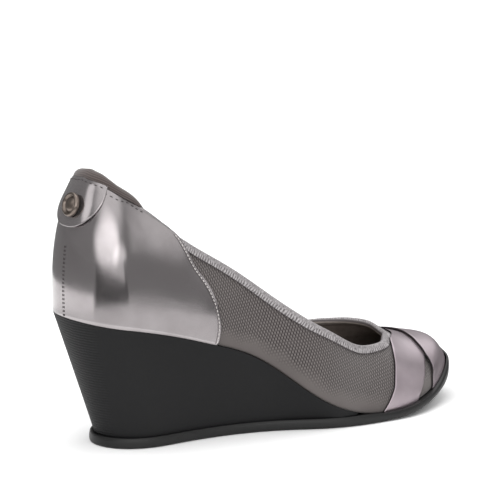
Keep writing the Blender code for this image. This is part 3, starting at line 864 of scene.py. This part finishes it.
def makePad():
    outerTop, innerTop = upperRims()
    front = int(np.argmax(outerTop[:, 0]))
    path = np.roll(outerTop, -front, axis=0)
    path = path[path[:, 0] < collar["frontX"]]
    path = smoothed(resample(path, 1.0 * mm), 6)
    partner = smoothed(nearestOf(innerTop, path), 8)
    middle = (path + partner) / 2
    across = unit(smoothed(unit((path - partner) * (1, 1, 0)), 20))
    at = lengthAlong(middle) / mm
    fromEnd = np.minimum(at, at[-1] - at)
    taper = np.clip(fromEnd / collar["taperMm"], 0, 1)
    swell = np.sqrt(np.clip(1 - (1 - taper) ** 2, 0.0009, 1))
    rings = []
    for outwards, rise in collar["section"]:
        up = rise * (swell if rise > 0 else 0.35 + 0.65 * swell)
        out = outwards * (0.25 + 0.75 * swell)
        rings.append(middle + across * out[:, None] * mm + np.array([0, 0, 1]) * (up[:, None] * mm))
    grid = np.stack(rings)
    rows, columns = grid.shape[:2]
    places = grid.reshape(-1, 3).tolist()
    faces = [(r * columns + c, r * columns + c + 1, (r + 1) % rows * columns + c + 1,
              (r + 1) % rows * columns + c) for r in range(rows) for c in range(columns - 1)]
    faces += [tuple(r * columns for r in range(rows)),
              tuple(r * columns + columns - 1 for r in reversed(range(rows)))]
    shape = bpy.data.meshes.new("paddedCollar")
    shape.from_pydata(places, [], faces)
    # map for the rib knit: along the rim and round the section, in metres
    closed = np.concatenate([grid, grid[:1]])
    around = np.append(0, np.cumsum(np.linalg.norm(np.diff(closed, axis=0), axis=2).max(1)))
    layer = shape.uv_layers.new(name="knit")
    for face in shape.polygons:
        for loop in face.loop_indices:
            r, c = divmod(shape.loops[loop].vertex_index, columns)
            wraps = r == 0 and face.index >= (rows - 1) * (columns - 1) and face.index < len(faces) - 2
            layer.data[loop].uv = (at[c] * mm, around[rows] if wraps else around[r])
    piece = bpy.data.objects.new("paddedCollar", shape)
    scene.collection.objects.link(piece)
    turnFacesOut(piece)
    subdivide(piece, 1, rounds=0)
    piece.data.shade_smooth()
    finishPiece(piece, "collar_pad", "collar_knit", finishes["collar"])
    return piece


padPiece = makePad()
print("collar pad:", len(padPiece.data.polygons), "faces")


def makeSolid(nodeName, pieceName, finish, slotName, crease=0.75, levels=2, rounds=4):
    piece = copyNode(nodeName, pieceName)
    holdEdges(piece, 28, crease)
    subdivide(piece, levels, rounds)
    pickOnly(piece)
    bpy.ops.object.shade_smooth_by_angle(angle=math.radians(35))
    finishPiece(piece, nodeName, slotName, finish)
    return piece


outsolePiece = makeSolid("outsole", "outsoleRubber", finishes["sole"], "outsole_rubber", 0.6, rounds=0)
makeSolid("wedge", "wedgeFoam", finishes["foam"], "wedge_rubber", 1.0, rounds=2)
makeSolid("insole", "insoleSock", finishes["sock"], "lining", 0.7)


# round the tip of the toe the sole's edge stands a little less proud than the solid's
def pullTip(piece):
    places = vertexPlaces(piece.data) / mm
    offset = places[:, :2] - outsole["tipCentre"]
    bearing = np.degrees(np.arctan2(offset[:, 1], offset[:, 0]))
    weight = smoothStep((bearing + 30) / 18) * (1 - smoothStep((bearing - 25) / 40))
    weight *= smoothStep((np.linalg.norm(offset, axis=1) - 12) / 12)
    places[:, :2] -= unit(offset) * (outsole["tipPull"] * weight)[:, None]
    setPlaces(piece.data, places * mm)


pullTip(outsolePiece)


# turned from a disc, ring by ring from its back to the middle of its face
def makeStud():
    places = vertexPlaces(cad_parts["stud"].data)
    centre = (places.min(0) + places.max(0)) / 2
    axes = np.linalg.eigh(np.cov((places - centre).T))[1]
    out = axes[:, 0] * np.sign(-axes[0, 0])
    side = unit(np.cross(out, (0, 0, 1)))
    (radius, height), *rest = stud["profile"][::-1]
    bpy.ops.object.select_all(action="DESELECT")
    bpy.ops.mesh.primitive_circle_add(vertices=stud["steps"], radius=radius * mm, fill_type="NGON",
                                      location=(0, 0, (height - stud["sunk"]) * mm))
    piece = bpy.context.object
    piece.name = piece.data.name = "blankStud"
    bpy.ops.object.transform_apply(location=True)
    bpy.ops.object.mode_set(mode="EDIT")
    bpy.ops.mesh.select_all(action="SELECT")
    for nextRadius, nextHeight in rest:
        bpy.ops.mesh.extrude_region_move(
            TRANSFORM_OT_translate={"value": (0, 0, (nextHeight - height) * mm)})
        bpy.ops.transform.resize(value=(nextRadius / radius, nextRadius / radius, 1),
                                 center_override=(0, 0, 0))
        radius, height = nextRadius, nextHeight
    bpy.ops.mesh.select_all(action="SELECT")
    bpy.ops.mesh.remove_doubles(threshold=0.01 * mm)
    bpy.ops.object.mode_set(mode="OBJECT")
    turned = vertexPlaces(piece.data) @ np.stack([np.cross(side, out), side, out])
    setPlaces(piece.data, turned + centre + stud["moved"])
    turnFacesOut(piece)
    bpy.ops.object.shade_smooth_by_angle(angle=math.radians(50))
    finishPiece(piece, "stud", "stud_metal", finishes["stud"])


makeStud()
print("sole unit, insole and stud made")


seams = {  # in mm
    "counterTop": {"pitch": 3.3, "long": 1.9, "wide": 0.62, "inset": 3.3},
    "pale": {"pitch": 2.1, "long": 1.55, "wide": 0.6, "inset": 1.4},
    # a row of dark thread beads that overlap into one unbroken line: painted shadow along the counter
    # seam's groove
    "seamShadow": {"pitch": 1.6, "long": 2.0, "wide": 0.3, "inset": 2.2},
    "back": {"pitch": 2.1, "long": 1.3, "wide": 0.55},
    "tab": {"pitch": 3.3, "long": 1.9, "wide": 0.62, "inset": 3.0},
}


# a row of small beads of thread along a line, copied from one
def makeStitches(pieceName, kind, threadFinish, points, outwards):
    pitch, long, wide = (seams[kind][part] * mm for part in ("pitch", "long", "wide"))
    bpy.ops.object.select_all(action="DESELECT")
    bpy.ops.mesh.primitive_uv_sphere_add(segments=8, ring_count=6, radius=0.5)
    piece = bpy.context.object
    piece.name = pieceName
    bead = vertexPlaces(piece.data)
    faces = [list(face.vertices) for face in piece.data.polygons]
    length = lengthAlong(points)
    vertices, allFaces = [], []
    for centre in np.arange(pitch / 2, length[-1], pitch):
        here, ahead, behind = (placeAt(centre + way, length, points) for way in (0, long / 2, -long / 2))
        out = unit(placeAt(centre, length, outwards))
        run = unit(ahead - behind)
        side = unit(np.cross(out, run))
        placed = (bead[:, :1] * long * run + bead[:, 1:2] * wide * side
                  + bead[:, 2:] * wide * 0.7 * np.cross(run, side))
        first = len(bead) * len(vertices)
        vertices.append(here + placed + out * wide * 0.12)
        allFaces += [[first + i for i in face] for face in faces]
    mesh = bpy.data.meshes.new(pieceName)
    mesh.from_pydata(np.concatenate(vertices).tolist(), [], allFaces)
    mesh.shade_smooth()
    piece.data = mesh
    finishPiece(piece, None, "counter_leather", threadFinish)


# stitches on a panel, a given way in from one side of its outline
def sewBeside(pieceName, kind, threadFinish, surface, side, centre):
    side = smoothed(side, 3)[1:-1]
    run = unit(np.gradient(side, axis=0))
    laid = [surface.at(p) for p in side]
    inwards = unit(np.cross(np.array([n for p, n in laid]), run))
    inwards *= np.sign(((centre - side) * inwards).sum())
    laid = [surface.at(p) for p in side + inwards * (seams[kind]["inset"] * mm)]
    makeStitches(pieceName, kind, threadFinish, smoothed([p for p, n in laid], 3),
                 np.array([n for p, n in laid]))


def makeSeams():
    dark, pale = finishes["darkThreadAndSeamShadow"], finishes["paleThread"]
    face = Surface(counterPiece.data, counterRegions[0])
    loop = max(borderLoops(counterPiece.data, counterRegions[0]), key=len)
    centre = np.array([-100 * mm, 0.0, 85 * mm])
    border = max(outlineSides(loop, 2), key=lambda side: side[:, 2].mean())
    half = len(border) // 2
    top = border[(border[:, 0] < -86 * mm) & (border[:, 2] > 100 * mm)]
    sewBeside("counterTopStitches", "counterTop", dark, face, top, centre)
    for part in (border[:half], border[half:]):
        side = part[part[:, 0] > -69 * mm]
        ending = "Inner" if side[:, 1].mean() > 0 else "Outer"
        sewBeside("counterSeam" + ending, "pale", pale, face, side, centre)
        # beside each pale seam a line of dark beads: painted shadow along the seam's groove
        sewBeside("counterSeamShadow" + ending, "seamShadow", dark, face, side, centre)
    backY = loop[np.argmin(loop[:, 0]), 1]
    for shift, name in ((-0.8, "backSeamOuter"), (0.8, "backSeamInner")):
        laid = [face.at((-0.15, backY + shift * mm, z * mm)) for z in range(57, 112)]
        makeStitches(name, "back", dark, np.array([p for p, n in laid]), np.array([n for p, n in laid]))
    loop = max(borderLoops(tabPiece.data, tabRegions[0]), key=len)
    border = max(outlineSides(loop, 2), key=lambda side: side[:, 2].mean())
    sewBeside("tabStitches", "tab", dark, Surface(tabPiece.data, tabRegions[0]), border, loop.mean(0))


makeSeams()
print("seams stitched")


studio = {
    "target": Vector((0.99 * mm, -0.07 * mm, 50 * mm)),
    "distance": 1.670,
    "turn": math.radians(54.4),  # view direction from +X towards +Y
    "down": math.radians(12.8),
    "roll": math.radians(0.82),
    "lens": 224.4,
    "shift": (-0.0294, 0.1556),
    "paper": "#f4f4f4",
    "evenLight": 0.27,
    "sun": 2.1,
    "sunWidth": math.radians(70),
    "sunFrom": (-0.35, 0.15, 1.0),
    "cardsX": -70 * mm,
}


def makeCamera():
    turn, down, roll = studio["turn"], studio["down"], studio["roll"]
    look = Vector((math.cos(turn) * math.cos(down), math.sin(turn) * math.cos(down), -math.sin(down)))
    right = Vector((math.sin(turn), -math.cos(turn), 0))
    up = right.cross(look)
    rolledRight = right * math.cos(roll) + up * math.sin(roll)
    rolledUp = up * math.cos(roll) - right * math.sin(roll)
    turned = Matrix((rolledRight, rolledUp, -look)).transposed()
    bpy.ops.object.camera_add(location=studio["target"] - look * studio["distance"],
                              rotation=turned.to_euler())
    camera = bpy.context.object
    camera.data.sensor_width = 36
    camera.data.lens = studio["lens"]
    camera.data.shift_x, camera.data.shift_y = studio["shift"]
    camera.data.clip_start, camera.data.clip_end = 0.05, 100
    scene.camera = camera


def makeFloor():
    bpy.ops.mesh.primitive_plane_add(size=12)
    floor = bpy.context.object
    floor.name = "floor"
    finish, _, _ = newMaterial("white paper sweep", Roughness=0.9, Base_Color=linear(studio["paper"]),
                               Specular_IOR_Level=0.1)
    floor.data.materials.append(finish)


# soft lobes of light round the shoe: azimuth and elevation in degrees, inner and outer half width
# in degrees, how much flatter than wide, strength
lobes = [
    ("keySoftbox", -119, 7, 25, 46, 3.5, 1.7),
    ("lowStrip", -78, 1, 12, 30, 4.0, 1.1),
    ("overhead", -95, 60, 32, 62, 1.0, 0.85),
    ("tabStrip", 168, 33, 5, 15, 1.0, 1.15),
    ("strapStrip", -22, 8, 6, 24, 1.5, 0.68),
    ("toeFill", 24, 46, 12, 36, 1.0, 1.5),
]


def makeWorld():
    world = bpy.data.worlds.new("studio")
    scene.world = world
    world.use_nodes = True
    tree = world.node_tree
    background = tree.nodes["Background"]
    background.inputs["Color"].default_value = (1, 1, 1, 1)
    place = addNode(tree, "ShaderNodeTexCoord").outputs["Generated"]
    total = None
    for name, azimuth, elevation, inner, outer, flat, strength in lobes:
        a, e = math.radians(azimuth), math.radians(elevation)
        flatAim = (math.cos(a) * math.cos(e), math.sin(a) * math.cos(e), math.sin(e) * flat)
        aim = Vector(flatAim).normalized()
        squeezed = addNode(tree, "ShaderNodeVectorMath", {1: (1, 1, flat)}, {0: place},
                           operation="MULTIPLY")
        level = addNode(tree, "ShaderNodeVectorMath", None, {0: squeezed.outputs[0]},
                        operation="NORMALIZE")
        near = addNode(tree, "ShaderNodeVectorMath", {1: aim}, {0: level.outputs[0]},
                       operation="DOT_PRODUCT", label=name)
        widest, full = math.cos(math.radians(outer)), math.cos(math.radians(inner))
        glow = addNode(tree, "ShaderNodeMapRange", {"From Min": widest, "From Max": full,
                                                    "To Max": strength},
                       {"Value": near.outputs["Value"]}, interpolation_type="SMOOTHSTEP")
        total = addNode(tree, "ShaderNodeMath", None if total else {1: studio["evenLight"]},
                        {0: total, 1: glow.outputs[0]} if total else {0: glow.outputs[0]}).outputs[0]
    # behind the shoe the picture is plain white
    seen = addNode(tree, "ShaderNodeLightPath").outputs["Is Camera Ray"]
    shown = addNode(tree, "ShaderNodeMix", {3: 1.0}, {0: seen, 2: total}, data_type="FLOAT")
    tree.links.new(shown.outputs[0], background.inputs["Strength"])


def makeLights():
    bpy.ops.object.light_add(type="SUN")
    sun = bpy.context.object
    sun.data.energy = studio["sun"]
    sun.data.angle = studio["sunWidth"]
    sun.rotation_euler = Vector(studio["sunFrom"]).to_track_quat("Z", "Y").to_euler()
    sun.visible_glossy = False


# paper rings and sectors on the floor that only show in gloss: bearings from and to in degrees,
# inner radius, outer radius at the first and at the last bearing in m, colour
cards = [
    ("paleCard", -180, 180, 0.17, 0.31, 0.31, "#d2d2d2"),
    ("middleCard", -162, -20, 0.31, 0.38, 0.38, "#9c9c9c"),
    ("greyCardFront", -162, -20, 0.38, 9.0, 9.0, "#6a6a6a"),
    ("greyCardToe", -20, 60, 0.24, 9.0, 9.0, "#242424"),
    ("greyCardBack", 60, 198, 0.42, 9.0, 9.0, "#6a6a6a"),
    ("paleFlank", -142, -66, 0.40, 9.0, 9.0, "#bcbcbc"),
    ("blackFlag", -156, -58, 0.32, 9.0, 0.56, "#020202"),
]


def makeCards():
    steps = 24
    for level, (name, begin, stop, inner, outerFirst, outerLast, colour) in enumerate(cards):
        turns = np.radians(np.linspace(begin, stop, steps + 1))
        radii = np.stack([np.full(steps + 1, inner),
                          1 / np.linspace(1 / outerFirst, 1 / outerLast, steps + 1)])
        places = np.stack([studio["cardsX"] + radii * np.cos(turns), radii * np.sin(turns),
                           np.full(radii.shape, (1 + level) * mm)], -1)
        card, _, _ = layGrid(name, places)
        finish, _, _ = newMaterial(name + " paper", Roughness=1.0, Base_Color=linear(colour),
                                   Specular_IOR_Level=0.0)
        card.data.materials.append(finish)
        card.visible_camera = card.visible_diffuse = card.visible_shadow = False


makeCamera()
makeFloor()
makeWorld()
makeLights()
makeCards()
scene.view_settings.view_transform = "Standard"
print("studio made")

bpy.context.view_layer.update()
